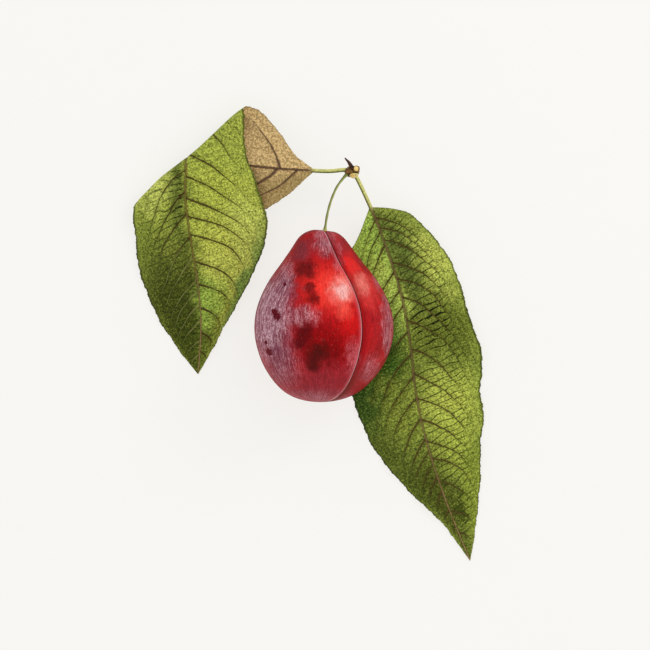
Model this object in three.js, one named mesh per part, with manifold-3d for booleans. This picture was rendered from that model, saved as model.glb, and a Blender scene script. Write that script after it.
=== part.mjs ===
// A red plum picked on its spur: the pear-shaped fruit, its stalk, the woody spur with its buds, and two leaves.
// It lies on its side on the plane z = 0, as it would on a table.
//
// Millimetres, +Z up. The origin is the middle of the flat spot under the fruit. +Y runs along the fruit from
// its blossom end to its stalk end, and +X goes across it, towards the open leaf. The other leaf is folded over,
// so that it shows its underside next to its stalk and its upper side beyond the fold.
import * as THREE from "three";
import { mergeVertices } from "three/addons/utils/BufferGeometryUtils.js";
import Module from "manifold-3d";

const wasm = await Module();
wasm.setup();

// ---------------------------------------------------------------- driving dimensions

const FRUIT_LENGTH = 43; // blossom end to stalk end
const FRUIT_MIDDLE_Y = 3.1; // halfway along the fruit
const FRUIT_AXIS_Z = 16.9; // height of the fruit's axis above the table
const FRUIT_BOW = 0.9; // how far the fruit's middle stands out sideways from its two ends
const SUTURE_DEPTH = 0.55;
const SUTURE_WIDTH = 0.95;
const STALK_FOOT = new THREE.Vector2(0.15, 17.3); // in X and Z, a little to the suture's side of the axis
const STALK_HOLLOW_DEPTH = 0.6;
const STALK_HOLLOW_RADIUS = 1.7;

const SPUR_PLACE = new THREE.Vector3(7, 39, 8.8);
const SPUR_RADII = new THREE.Vector3(1.5, 1.25, 1.35);
const SIDE_BUD_PLACE = new THREE.Vector3(8.45, 40, 10.5);
const SIDE_BUD_RADII = new THREE.Vector3(0.75, 0.7, 0.7);
const SCALE_GAP = 0.25; // between a bud scale and the spur
const SCALE_THICKNESS = 0.3;

const STALK_RADIUS = 0.36; // the fruit's stalk at its thinnest
const JOINT_GAP = 0.3; // between a stalk's end and what it grows from

const LEAF_STALK_RADIUS = 0.55;
const BLADE_THICKNESS = 0.4;
const FOLD_RADIUS = 1.5; // of the folded leaf's bend, seen in plan

// ---------------------------------------------------------------- curves and closed surfaces

const clamp = THREE.MathUtils.clamp;
const smoothstep = THREE.MathUtils.smoothstep; // (x, low, high)

// A smooth curve y(x) through [x, y] points in rising x. It is flat past its two ends.
function smooth(points) {
  const last = points.length - 1;
  const slopes = points.map((_, i) => {
    const [xa, ya] = points[Math.max(i - 1, 0)];
    const [xb, yb] = points[Math.min(i + 1, last)];
    return (yb - ya) / (xb - xa);
  });
  return (x) => {
    let i = 0;
    while (i < last - 1 && x > points[i + 1][0]) i++;
    const [x0, y0] = points[i];
    const [x1, y1] = points[i + 1];
    const h = x1 - x0;
    const t = clamp((x - x0) / h, 0, 1);
    const s = 1 - t;
    const through = (1 + 2 * t) * s * s * y0 + (3 - 2 * t) * t * t * y1;
    return through + t * s * h * (s * slopes[i] - t * slopes[i + 1]);
  };
}

// A smooth route through points of any number of coordinates, followed by distance from its first point.
function route(points) {
  const along = [0];
  for (let i = 1; i < points.length; i++)
    along.push(along[i - 1] + Math.hypot(...points[i].map((c, k) => c - points[i - 1][k])));
  const curves = points[0].map((_, k) => smooth(points.map((p, i) => [along[i], p[k]])));
  return { length: along.at(-1), at: (a) => curves.map((curve) => curve(a)) };
}

// A closed surface through rings of points, each ring with the same number of points, with a cap on each end.
function loft(rings) {
  const n = rings[0].length;
  const positions = rings.flat().flatMap((p) => p.toArray());
  const faces = [];
  for (let r = 0; r < rings.length - 1; r++)
    for (let k = 0; k < n; k++) {
      const [a, b] = [r * n + k, r * n + ((k + 1) % n)];
      faces.push(a, b, a + n, b, b + n, a + n);
    }
  for (const [ring, start, flip] of [
    [rings[0], 0, true],
    [rings.at(-1), (rings.length - 1) * n, false],
  ]) {
    const middle = ring.reduce((sum, p) => sum.add(p), new THREE.Vector3()).divideScalar(n);
    const hub = positions.length / 3;
    positions.push(...middle.toArray());
    for (let k = 0; k < n; k++) {
      const [a, b] = [start + k, start + ((k + 1) % n)];
      faces.push(...(flip ? [b, a, hub] : [a, b, hub]));
    }
  }
  const geometry = new THREE.BufferGeometry();
  geometry.setAttribute("position", new THREE.Float32BufferAttribute(positions, 3));
  geometry.setIndex(signedVolume(positions, faces) < 0 ? faces.reverse() : faces);
  return geometry;
}

function signedVolume(positions, faces) {
  const corner = (i) => new THREE.Vector3().fromArray(positions, faces[i] * 3);
  let sum = 0;
  for (let i = 0; i < faces.length; i += 3) sum += corner(i).dot(corner(i + 1).cross(corner(i + 2)));
  return sum / 6;
}

// A round rod along a route, its radius given by distance along it.
function rod(points, radiusAt, steps, sides) {
  const line = route(points);
  const rings = [];
  for (let i = 0; i <= steps; i++) {
    const a = (line.length * i) / steps;
    const here = new THREE.Vector3(...line.at(a));
    const ahead = new THREE.Vector3(...line.at(Math.min(a + 0.05, line.length)));
    const behind = new THREE.Vector3(...line.at(Math.max(a - 0.05, 0)));
    const forward = ahead.sub(behind).normalize();
    const side = new THREE.Vector3(0, 0, 1).cross(forward).normalize();
    const up = forward.clone().cross(side);
    const ring = [];
    for (let k = 0; k < sides; k++) {
      const angle = (2 * Math.PI * k) / sides;
      const out = side.clone().multiplyScalar(Math.cos(angle)).addScaledVector(up, Math.sin(angle));
      ring.push(here.clone().addScaledVector(out, radiusAt(a, line.length)));
    }
    rings.push(ring);
  }
  return loft(rings);
}

// ---------------------------------------------------------------- the fruit

const FRUIT_RINGS = 30;
const FRUIT_COLUMNS = 50;
const SUTURE_CROWDING = 0.3; // how close the columns stand at the suture, against an even spread

// The half-width of the ellipse that the fruit's outline touches, from blossom end (-1) to stalk end (1).
const fruitFullness = smooth([
  [-1, 21], [-0.8, 18.8], [-0.5, 18.05], [-0.2, 17.6], [0.1, 16.6], [0.4, 14.7], [0.65, 12.5], [0.83, 12.1],
  [1, 14.5],
]);

// Where the suture runs: degrees from straight up towards +X, from blossom end (-1) to stalk end (1).
const sutureDegrees = smooth([
  [-1, 39], [-0.9, 37], [-0.6, 35], [-0.2, 34.4], [0.1, 33.2], [0.35, 31], [0.6, 26], [0.8, 22.5], [1, 19],
]);

// How far a point near the suture stands in from the round section, from its distance to the suture.
function sutureInset(distance, share) {
  const fade = smoothstep(1 - Math.abs(share), 0, 0.12);
  const groove = SUTURE_DEPTH * Math.exp(-((distance / SUTURE_WIDTH) ** 2));
  const lips = 0.22 * Math.exp(-(((Math.abs(distance) - 2.6) / 1.9) ** 2));
  return fade * (groove - lips);
}

// share runs from -1 at the blossom end to 1 at the stalk end; angle is measured from the suture.
function fruitPoint(share, angle) {
  const round = Math.sqrt(Math.max(0, 1 - share * share)) * fruitFullness(share);
  const r = Math.max(0, round - sutureInset(round * angle, share));
  const turn = THREE.MathUtils.degToRad(sutureDegrees(share)) + angle;
  const x = -FRUIT_BOW * share * share + r * Math.sin(turn);
  const z = FRUIT_AXIS_Z + r * Math.cos(turn);
  const away = Math.hypot(x - STALK_FOOT.x, z - STALK_FOOT.y) / STALK_HOLLOW_RADIUS;
  const hollow = share > 0 ? STALK_HOLLOW_DEPTH * Math.exp(-(away ** 2)) : 0;
  return new THREE.Vector3(x, FRUIT_MIDDLE_Y + (share * FRUIT_LENGTH) / 2 - hollow, z);
}

function fruitGeometry() {
  const rings = [];
  for (let i = 0; i < FRUIT_RINGS; i++) {
    const share = -Math.cos((Math.PI * (i + 0.35)) / (FRUIT_RINGS - 0.3));
    const ring = [];
    for (let k = 0; k < FRUIT_COLUMNS; k++) {
      const turn = (2 * k) / FRUIT_COLUMNS - 1;
      ring.push(fruitPoint(share, Math.PI * turn * (SUTURE_CROWDING + (1 - SUTURE_CROWDING) * turn * turn)));
    }
    rings.push(ring);
  }
  // The flat spot is where the table cuts the fruit's underside.
  const table = new THREE.BoxGeometry(60, 60, 10).translate(0, 0, -5);
  return cut(loft(rings), table);
}

function solidOf(geometry) {
  const bare = geometry.clone().deleteAttribute("normal").deleteAttribute("uv");
  const merged = mergeVertices(bare, 1e-4);
  return new wasm.Manifold(
    new wasm.Mesh({
      numProp: 3,
      vertProperties: merged.attributes.position.array,
      triVerts: new Uint32Array(merged.index.array),
    }),
  );
}

function cut(geometry, tool) {
  const mesh = solidOf(geometry).subtract(solidOf(tool)).getMesh();
  const made = new THREE.BufferGeometry();
  made.setAttribute("position", new THREE.BufferAttribute(mesh.vertProperties, 3));
  made.setIndex(new THREE.BufferAttribute(mesh.triVerts, 1));
  return made;
}

// ---------------------------------------------------------------- the leaves

// A leaf is one piece from the foot of its stalk to its tip. "midrib" is its course in plan, laid out flat before
// any fold. Half-widths and heights are given at shares of the blade, from its base (0) to its tip (1). The near
// side is on the left of someone who walks along the midrib, before any fold.
const OPEN_LEAF = {
  midrib: [
    [8.5, 36.9], [11.7, 30], [14.8, 22.4], [19.15, 9.05], [21.6, -4], [22.9, -15.5], [25.4, -27.5],
    [30.2, -42.4], [36.6, -58.3],
  ],
  stalkLength: 7.6,
  near: smooth([
    [0, 0.5], [0.02, 4.2], [0.05, 8], [0.1, 10.7], [0.2, 14], [0.35, 15.7], [0.42, 17.2], [0.48, 17],
    [0.56, 15.3], [0.62, 15.3], [0.7, 12.8], [0.8, 9.8], [0.9, 5.4], [0.96, 2.2], [1, 0.06],
  ]),
  far: smooth([
    [0, 0.5], [0.05, 4.8], [0.1, 8.8], [0.2, 13], [0.3, 14.6], [0.45, 15.5], [0.55, 14.7], [0.63, 13],
    [0.72, 9.7], [0.8, 6.2], [0.86, 3.3], [0.92, 1.5], [1, 0.06],
  ]),
  height: smooth([
    [-0.09, 8.5], [0, 6.7], [0.12, 4.2], [0.25, 2.9], [0.45, 2.9], [0.6, 3.6], [0.78, 3.2], [0.9, 1.7],
    [1, 0.3],
  ]),
  nearDrop: smooth([
    [0, 0], [0.1, 1.6], [0.3, 1.2], [0.42, 0.6], [0.52, 2.2], [0.7, 2.2], [0.85, 1.9], [1, 0],
  ]),
  farDrop: smooth([[0, 0], [0.1, 2.1], [0.25, 3.1], [0.45, 3.1], [0.64, 3.3], [0.8, 2.2], [1, 0]]),
  ripple: { height: 0.35, count: 7, phase: 0.6 },
  undersideUp: false,
  columns: 7, // of faces on each side of the midrib
  spans: [[-1, 0, 6], [0, 0.12, 7], [0.12, 0.9, 26], [0.9, 1, 5]], // from, to, and how many rings between
};

const FOLDED_LEAF = {
  midrib: [
    [4.9, 39.75], [-2.8, 39.6], [-15.1, 40.2], [-26, 42], [-37, 43.4], [-46.2, 44.8], [-55.1, 47.5],
    [-68.4, 51.7], [-77.5, 53.5], [-87.9, 54.4],
  ],
  stalkLength: 7.7,
  near: smooth([
    [0, 0.5], [0.05, 4.8], [0.1, 8.6], [0.15, 11.4], [0.22, 13.7], [0.32, 14.6], [0.45, 13.5], [0.56, 13.1],
    [0.66, 13.9], [0.75, 12.7], [0.85, 9.7], [0.93, 5], [1, 0.06],
  ]),
  far: smooth([
    [0, 0.5], [0.05, 3.4], [0.1, 8.3], [0.15, 12.2], [0.2, 14], [0.28, 14], [0.36, 14.8], [0.44, 17.5],
    [0.52, 18.9], [0.6, 18.9], [0.68, 16.4], [0.76, 11.8], [0.84, 6.8], [0.92, 3.1], [1, 0.06],
  ]),
  // before the fold
  height: smooth([[-0.09, 8.9], [0, 7.9], [0.12, 5.8], [0.25, 4], [0.4, 3.2], [0.6, 2.8]]),
  nearDrop: smooth([[0, 0], [0.1, 0.9], [0.3, 1.4], [0.6, 1.4]]),
  farDrop: smooth([[0, 0], [0.1, 0.5], [0.3, 1.2], [0.6, 1.2]]),
  ripple: { height: 0.22, count: 6, phase: 2.2 },
  undersideUp: true,
  columns: 9,
  spans: [[-1, 0, 6], [0, 0.12, 7], [0.12, 0.62, 38], [0.62, 0.9, 12], [0.9, 1, 5]],
  fold: {
    through: [-33.9, 43.5], // where the crease crosses the midrib
    angle: THREE.MathUtils.degToRad(40.5), // of the crease, from +X
    height: smooth([[0.1, 6.4], [0.3, 6.8], [0.45, 8.2], [0.6, 8.2], [0.75, 5.8], [0.9, 2.2], [1, 0.3]]),
    nearDrop: smooth([[0.2, 2.6], [0.35, 3], [0.48, 4.4], [0.6, 7], [0.75, 5.2], [0.9, 1.8], [1, 0]]),
    farDrop: smooth([[0.1, 0.4], [0.35, 0.7], [0.5, 1.5], [0.62, 3], [0.75, 3.4], [0.9, 1.5], [1, 0]]),
  },
};

const COLUMN_POWER = 1.5; // the columns stand closer together towards the midrib
const DROP_POWER = 1.6;

function leafModel(leaf) {
  const line = route(leaf.midrib);
  const bladeLength = line.length - leaf.stalkLength;
  const shareAt = (a) => (a - leaf.stalkLength) / bladeLength;
  const widthAt = (a, side) => (side < 0 ? leaf.far : leaf.near)(clamp(shareAt(a), 0, 1));

  // The blade's middle surface at distance a along the midrib, a share t of a half-width to one side of it.
  function surface(a, t) {
    const inside = clamp(a, 0, line.length);
    const [x, y] = line.at(inside);
    const [xa, ya] = line.at(Math.min(inside + 0.4, line.length));
    const [xb, yb] = line.at(Math.max(inside - 0.4, 0));
    const forward = new THREE.Vector2(xa - xb, ya - yb).normalize();
    const across = t * widthAt(inside, t);
    const plan = new THREE.Vector2(x - forward.y * across, y + forward.x * across);
    const share = shareAt(inside);
    const edge = Math.abs(t);
    const drop = (shape) => (t < 0 ? shape.farDrop : shape.nearDrop)(clamp(share, 0, 1)) * edge ** DROP_POWER;
    const wave = Math.sin(2 * Math.PI * leaf.ripple.count * share + leaf.ripple.phase + (t < 0 ? 2 : 0));
    const calm = smoothstep(share, 0, 0.2) * (1 - smoothstep(share, 0.85, 1));
    const ripple = leaf.ripple.height * edge ** 3 * wave * calm;
    let z = leaf.height(share) - drop(leaf);
    if (leaf.fold) {
      const turn = foldOver(plan, leaf.fold);
      z += ((leaf.fold.height(share) - drop(leaf.fold) - z) * (1 - Math.cos(turn))) / 2;
    }
    return new THREE.Vector3(plan.x, plan.y, onTable(z + ripple));
  }
  return { bladeLength, shareAt, widthAt, surface };
}

// Turns a point of the flat plan over about the crease, in place, and returns how far it has turned, from 0 to pi.
function foldOver(plan, fold) {
  const crease = new THREE.Vector2(Math.cos(fold.angle), Math.sin(fold.angle));
  const inward = new THREE.Vector2(crease.y, -crease.x); // from the crease towards the leaf's stalk
  const from = new THREE.Vector2(plan.x - fold.through[0], plan.y - fold.through[1]);
  const before = from.dot(inward);
  const reach = (Math.PI * FOLD_RADIUS) / 2;
  const turn = clamp((reach - before) / FOLD_RADIUS, 0, Math.PI);
  const after = before > reach ? before : before < -reach ? -before : reach - FOLD_RADIUS * Math.sin(turn);
  plan.addScaledVector(inward, after - before);
  return turn;
}

// Keeps the blade's middle surface half its thickness above the table, with a soft start.
function onTable(z) {
  const least = BLADE_THICKNESS / 2;
  const soft = 0.35;
  const over = z - least;
  return over > soft ? z : least + (over < -soft ? 0 : (over + soft) ** 2 / (4 * soft));
}

// How far the leaf's two faces stand from its middle surface. The round stalk runs on under the blade as the
// midrib, which thins towards the tip.
function faceOffsets(share, across) {
  const blade = smoothstep(share, -0.01, 0.05);
  const ribRadius = LEAF_STALK_RADIUS - 0.08 * smoothstep(share, -0.1, 0) - 0.3 * clamp(share, 0, 1);
  const rib = Math.sqrt(Math.max(0, ribRadius ** 2 - across ** 2));
  const sheet = Math.max(0.02, (BLADE_THICKNESS / 2) * blade);
  return { upper: Math.max(sheet, rib * (1 - blade)), under: Math.max(sheet, rib) };
}

function leafGeometry(leaf) {
  const model = leafModel(leaf);
  const shares = [];
  for (let i = -leaf.columns; i <= leaf.columns; i++)
    shares.push(Math.sign(i) * Math.abs(i / leaf.columns) ** COLUMN_POWER);
  const rings = stationsOf(leaf.spans).map((station) => {
    const a = leaf.stalkLength + station * (station < 0 ? leaf.stalkLength : model.bladeLength);
    const first = [];
    const second = [];
    for (const t of shares) {
      const here = model.surface(a, t);
      const along = model.surface(a + 0.1, t).sub(model.surface(a - 0.1, t));
      const side = model.surface(a, Math.min(t + 0.03, 1)).sub(model.surface(a, Math.max(t - 0.03, -1)));
      const normal = along.cross(side).normalize();
      const half = faceOffsets(model.shareAt(a), t * model.widthAt(a, t));
      const [up, down] = leaf.undersideUp ? [half.under, half.upper] : [half.upper, half.under];
      first.push(here.clone().addScaledVector(normal, up));
      second.unshift(here.clone().addScaledVector(normal, -down));
    }
    return [...first, ...second].map((p) => p.setZ(Math.max(p.z, 0)));
  });
  return loft(rings);
}

// Shares of the stalk (-1 at its foot to 0) and then of the blade (0 to 1), closer together where stated.
function stationsOf(spans) {
  const list = [];
  for (const [from, to, steps] of spans)
    for (let i = 0; i < steps; i++) list.push(from + ((to - from) * i) / steps);
  return [...list, 1];
}

// ---------------------------------------------------------------- the stalk, the spur and its scales

function fruitStalkGeometry() {
  const foot = FRUIT_MIDDLE_Y + FRUIT_LENGTH / 2 - STALK_HOLLOW_DEPTH + JOINT_GAP;
  const points = [
    [STALK_FOOT.x, foot, STALK_FOOT.y], [0.65, 27.3, 17], [1.15, 29.7, 16.2], [2.05, 32.5, 14.7],
    [3.3, 35.3, 12.4], [5, 37.6, 9.9],
  ];
  const radius = (a, length) =>
    STALK_RADIUS + 0.3 * Math.exp(-((a / 0.7) ** 2)) + 0.2 * Math.exp(-(((length - a) / 1.6) ** 2));
  return rod(points, radius, 26, 10);
}

// A knobbly round body: rings of an ellipsoid, with swellings given by direction.
function knob(radii, rows, columns, swell) {
  const rings = [];
  for (let i = 0; i < rows; i++) {
    const polar = (Math.PI * (i + 0.5)) / rows;
    const ring = [];
    for (let k = 0; k < columns; k++) {
      const turn = (2 * Math.PI * k) / columns;
      const out = new THREE.Vector3().setFromSphericalCoords(1, polar, turn);
      ring.push(out.clone().multiply(radii).multiplyScalar(swell(out)));
    }
    rings.push(ring);
  }
  return loft(rings);
}

function spurGeometry() {
  const swell = (d) =>
    1 + 0.05 * Math.sin(5 * d.x + 1) * Math.sin(4 * d.y) + 0.05 * Math.sin(6 * d.z + 2 * d.x);
  return knob(SPUR_RADII, 14, 18, swell).translate(...SPUR_PLACE.toArray());
}

// A round resting bud on the spur's shoulder.
function sideBudGeometry() {
  return knob(SIDE_BUD_RADII, 9, 12, (d) => 1 + 0.08 * d.y * d.z).translate(...SIDE_BUD_PLACE.toArray());
}

// A bud scale: a cupped flake that lies over the spur, centred on a direction, with a blunt point.
function scaleGeometry({ turn, lift, halfWidth, halfLength, lean }) {
  const rows = 7;
  const columns = 8;
  const rings = [];
  for (let i = 0; i <= rows; i++) {
    const along = (2 * i) / rows - 1;
    const taper = 1 - 0.12 * (along + 1);
    const wide = halfWidth * taper * Math.sqrt(Math.max(0.02, 1 - Math.abs(along) ** 2.4));
    const outer = [];
    const inner = [];
    for (let k = 0; k <= columns; k++) {
      const across = (2 * k) / columns - 1;
      const polar = Math.PI / 2 - along * halfLength;
      const direction = new THREE.Vector3().setFromSphericalCoords(1, polar, across * wide);
      const flare = SCALE_GAP + lean * Math.max(0, along) ** 2;
      const spot = direction.applyEuler(new THREE.Euler(-lift, turn, 0, "YXZ"));
      const base = spot.clone().multiply(SPUR_RADII).multiplyScalar(1.1);
      outer.push(base.clone().addScaledVector(spot, flare + SCALE_THICKNESS * (1 - 0.6 * across ** 2)));
      inner.unshift(base.clone().addScaledVector(spot, flare));
    }
    rings.push([...outer, ...inner]);
  }
  return loft(rings).translate(...SPUR_PLACE.toArray());
}

// The withered bud: a dry point that stands up from the spur, away from the open leaf.
function witheredBudGeometry() {
  const points = [[6.35, 40.65, 9.4], [5.9, 41.3, 9.8], [5.2, 42.4, 10.2]];
  return rod(points, (a, length) => 0.62 * (1 - a / length) ** 0.8 + 0.07, 8, 8);
}

// ---------------------------------------------------------------- materials and assembly

function plain(name, color, roughness) {
  return new THREE.MeshStandardMaterial({ name, color, roughness, metalness: 0 });
}

const skin = plain("fruit_skin", "#a81a22", 0.38);
const leafFlesh = plain("leaf_green", "#76853a", 0.6);
const stalkGreen = plain("stalk_green", "#7c8a3c", 0.55);
const bark = plain("spur_bark", "#6b4a22", 0.8);
const scaleTan = plain("scale_tan", "#b48a43", 0.7);
const dryBrown = plain("dry_brown", "#33200f", 0.85);

const BUD_SCALES = {
  bud_scale_front: { turn: 0.25, lift: -0.75, halfWidth: 0.75, halfLength: 0.5, lean: 0.3 },
  bud_scale_left: { turn: -0.72, lift: 0.1, halfWidth: 0.5, halfLength: 0.38, lean: 0.2 },
};

const plum = new THREE.Group();
plum.name = "plum_on_spur";

function add(name, geometry, material) {
  const mesh = new THREE.Mesh(geometry, material);
  mesh.name = name;
  plum.add(mesh);
}

add("fruit", fruitGeometry(), skin);
add("fruit_stalk", fruitStalkGeometry(), stalkGreen);
add("spur", spurGeometry(), bark);
add("side_bud", sideBudGeometry(), scaleTan);
for (const [name, scale] of Object.entries(BUD_SCALES)) add(name, scaleGeometry(scale), scaleTan);
add("withered_bud", witheredBudGeometry(), dryBrown);
add("open_leaf", leafGeometry(OPEN_LEAF), leafFlesh);
add("folded_leaf", leafGeometry(FOLDED_LEAF), leafFlesh);

export default plum;
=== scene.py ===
"""A red plum picked on its spur with an open leaf and a folded leaf, seen from above on a pale floor.

Shapes are worked out in millimetres, in the frame of the CAD model, and become metres when a mesh is made.
"""

import math

import bpy
import numpy as np
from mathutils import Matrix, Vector
from mathutils import noise as field


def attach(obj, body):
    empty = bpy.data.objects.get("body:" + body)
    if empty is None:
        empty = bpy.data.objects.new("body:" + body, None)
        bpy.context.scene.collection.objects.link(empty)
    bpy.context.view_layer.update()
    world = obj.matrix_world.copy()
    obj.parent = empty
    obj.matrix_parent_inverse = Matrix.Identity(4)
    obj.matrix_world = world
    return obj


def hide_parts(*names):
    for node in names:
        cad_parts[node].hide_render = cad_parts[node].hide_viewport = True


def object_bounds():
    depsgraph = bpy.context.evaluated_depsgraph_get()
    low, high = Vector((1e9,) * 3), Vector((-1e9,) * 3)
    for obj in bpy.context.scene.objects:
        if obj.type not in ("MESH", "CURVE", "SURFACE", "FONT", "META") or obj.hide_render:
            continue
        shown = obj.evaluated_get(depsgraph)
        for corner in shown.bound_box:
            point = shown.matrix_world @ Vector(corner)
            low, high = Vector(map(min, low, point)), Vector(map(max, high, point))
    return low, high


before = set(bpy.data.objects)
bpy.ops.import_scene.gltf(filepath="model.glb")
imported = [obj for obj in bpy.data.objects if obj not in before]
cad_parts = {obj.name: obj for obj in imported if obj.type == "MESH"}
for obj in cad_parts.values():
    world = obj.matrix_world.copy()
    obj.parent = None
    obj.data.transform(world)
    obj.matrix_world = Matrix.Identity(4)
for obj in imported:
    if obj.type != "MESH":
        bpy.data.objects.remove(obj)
cad_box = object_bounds()

MM = 0.001

# ---- driving dimensions, in mm

# These are the CAD model's.
FRUIT_LENGTH = 43  # blossom end to stalk end
FRUIT_MIDDLE_Y = 3.1  # halfway along the fruit
FRUIT_AXIS_Z = 16.9  # height of the fruit's axis above the floor
FRUIT_BOW = 0.9  # how far the fruit's middle stands out sideways from its two ends
STALK_FOOT = (0.15, 17.3)  # in X and Z
STALK_HOLLOW_DEPTH = 0.6
STALK_HOLLOW_RADIUS = 1.7
SPUR_PLACE = (7, 39, 8.8)
FOLD_RADIUS = 1.5  # of the folded leaf's bend, seen in plan
DROP_POWER = 1.6  # how steeply a blade falls away from its midrib

# These differ a little from the CAD model's.
SUTURE_DEPTH = 0.6
SUTURE_WIDTH = 0.62
SPUR_RADII = (1.75, 1.4, 1.45)
BUD_PLACE = (8.15, 39.75, 10.2)
BUD_RADII = (0.76, 0.74, 0.78)
STALK_RADIUS = 0.3  # the fruit's stalk at its thinnest
LEAF_STALK_RADIUS = 0.64
BLADE_THICKNESS = 0.3
MARGIN_FULLNESS = 0.2  # added to the blades' half-widths

# ---- how finely the meshes are divided

FRUIT_ROWS = 170
FRUIT_COLUMNS = 200
FRUIT_END_GAP = 0.12  # of a row, between the last ring and the pole
SUTURE_CROWDING = 0.22  # spacing of the columns at the suture, where 1 would be even
KNOB_ROWS = 48
KNOB_COLUMNS = 64
SCALE_ROWS = 24
SCALE_COLUMNS = 22
LEAF_COLUMNS = 60  # of faces on each side of the midrib
LEAF_ROWS = 330
LEAF_STALK_ROWS = 26
ROW_POWER = 1.06  # the rows stand closer together towards the blade's base
COLUMN_POWER = 1.25  # the columns stand closer together towards the midrib

# ---- curves


def smooth(points):
    """A smooth curve y(x) through (x, y) points in rising x, flat past its two ends. It takes arrays."""
    x, y = (np.array([p[k] for p in points], float) for k in (0, 1))
    slope = np.empty_like(y)
    slope[1:-1] = (y[2:] - y[:-2]) / (x[2:] - x[:-2])
    slope[0] = (y[1] - y[0]) / (x[1] - x[0])
    slope[-1] = (y[-1] - y[-2]) / (x[-1] - x[-2])

    def at(v):
        i = np.clip(np.searchsorted(x, v, side="right") - 1, 0, len(x) - 2)
        h = x[i + 1] - x[i]
        t = np.clip((v - x[i]) / h, 0, 1)
        s = 1 - t
        through = (1 + 2 * t) * s * s * y[i] + (3 - 2 * t) * t * t * y[i + 1]
        return through + t * s * h * (s * slope[i] - t * slope[i + 1])

    return at


def route(points):
    """The length of a smooth route through points, and the route as a function of distance along it."""
    points = np.array(points, float)
    steps = np.linalg.norm(np.diff(points, axis=0), axis=1)
    along = np.concatenate([[0], np.cumsum(steps)])
    curves = [smooth(list(zip(along, column))) for column in points.T]
    return along[-1], lambda a: np.stack([curve(a) for curve in curves], axis=-1)


def ease(x, low, high):
    t = np.clip((x - low) / (high - low), 0, 1)
    return t * t * (3 - 2 * t)


def bell(x, width):
    return np.exp(-((x / width) ** 2))


# ---- meshes


def add_object(name, data):
    made = bpy.data.objects.new(name, data)
    bpy.context.scene.collection.objects.link(made)
    return made


def loft(name, rings, material, facts=None):
    """A closed mesh in mm, through rings of points (rings, points, xyz). facts are named vectors there."""
    rows, sides = rings.shape[:2]
    index = np.arange(rows * sides).reshape(rows, sides)
    turned = np.roll(index, -1, axis=1)
    quads = np.stack([index[:-1], turned[:-1], turned[1:], index[1:]], axis=-1).reshape(-1, 4)
    faces = quads.tolist() + [index[0, ::-1].tolist(), index[-1].tolist()]
    mesh = bpy.data.meshes.new(name)
    mesh.from_pydata((rings.reshape(-1, 3) * MM).tolist(), [], faces)
    corners = rings.reshape(-1, 3)[quads]
    middle = corners.mean(axis=1)
    facing = np.cross(corners[:, 2] - corners[:, 0], corners[:, 3] - corners[:, 1])
    if (middle * facing).sum() < 0:
        mesh.flip_normals()
    for fact, values in (facts or {}).items():
        layer = mesh.attributes.new(fact, "FLOAT_VECTOR", "POINT")
        layer.data.foreach_set("vector", values.astype(np.float32).ravel())
    mesh.shade_smooth()
    mesh.update()
    mesh.materials.append(material)
    return add_object(name, mesh)


def rod(name, points, radius, steps, sides, material):
    """A round rod along a route. radius takes the distance along it, its length, and the angle round it."""
    length, course = route(points)
    a = np.linspace(0, length, steps + 1)
    here = course(a)
    nearby = 0.05
    forward = course(np.minimum(a + nearby, length)) - course(np.maximum(a - nearby, 0))
    forward /= np.linalg.norm(forward, axis=1, keepdims=True)
    side = np.cross([0, 0, 1], forward)
    side /= np.linalg.norm(side, axis=1, keepdims=True)
    up = np.cross(forward, side)
    angle = np.linspace(0, 2 * np.pi, sides, endpoint=False)
    out = np.cos(angle)[None, :, None] * side[:, None] + np.sin(angle)[None, :, None] * up[:, None]
    r = radius(a[:, None], length, angle[None, :]) * np.ones((steps + 1, sides))
    rings = here[:, None] + out * r[..., None]
    run = np.broadcast_to((a / length)[:, None], r.shape)
    turn = np.broadcast_to(angle[None, :], r.shape)
    return loft(name, rings, material, {"run": np.stack([run, np.cos(turn), 0 * turn], axis=-1)})


def knob(name, place, radii, swell, material):
    """A round body whose surface is pushed in or out by a function of direction."""
    polar = (np.pi * (np.arange(KNOB_ROWS) + 0.5) / KNOB_ROWS)[:, None]
    turn = (2 * np.pi * np.arange(KNOB_COLUMNS) / KNOB_COLUMNS)[None, :]
    level = np.sin(polar)
    out = np.stack([level * np.cos(turn), level * np.sin(turn), np.cos(polar) + 0 * turn], axis=-1)
    rings = np.array(place) + out * np.array(radii) * swell(out)[..., None]
    return loft(name, rings, material)


def joined(top, bottom):
    """The rings of a closed sheet: across its top face, and back across its bottom face."""
    return np.concatenate([top, bottom[:, ::-1]], axis=1)


def lumps(points, scale, seed):
    """Smooth unevenness from -1 to 1 at each point."""
    flat = points.reshape(-1, 3) * scale + seed
    return np.array([field.noise(Vector(p)) for p in flat]).reshape(points.shape[:-1])


# ---- painting


def tone(red, green, blue):
    """A colour given as on a screen, 0 to 255, in the renderer's own terms."""
    parts = [c / 255 for c in (red, green, blue)]
    return tuple(c / 12.92 if c <= 0.04045 else ((c + 0.055) / 1.055) ** 2.4 for c in parts) + (1,)


# The Mix node's sockets for colours.
MIX_AMOUNT, MIX_BELOW, MIX_OVER = 0, 6, 7
MIX_RESULT = 2

RAGGED_GAIN = 2.5  # makes up for noise seldom going far from its middle value


class Wire:
    """A node's output. Arithmetic on it adds Math nodes."""

    def __init__(self, paint, socket):
        self.paint, self.socket = paint, socket

    def __add__(self, other):
        return self.paint.math("ADD", self, other)

    def __sub__(self, other):
        return self.paint.math("SUBTRACT", self, other)

    def __rsub__(self, other):
        return self.paint.math("SUBTRACT", other, self)

    def __mul__(self, other):
        return self.paint.math("MULTIPLY", self, other)

    def __truediv__(self, other):
        return self.paint.math("DIVIDE", self, other)

    def __abs__(self):
        return self.paint.math("ABSOLUTE", self)

    __radd__, __rmul__ = __add__, __mul__


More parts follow.
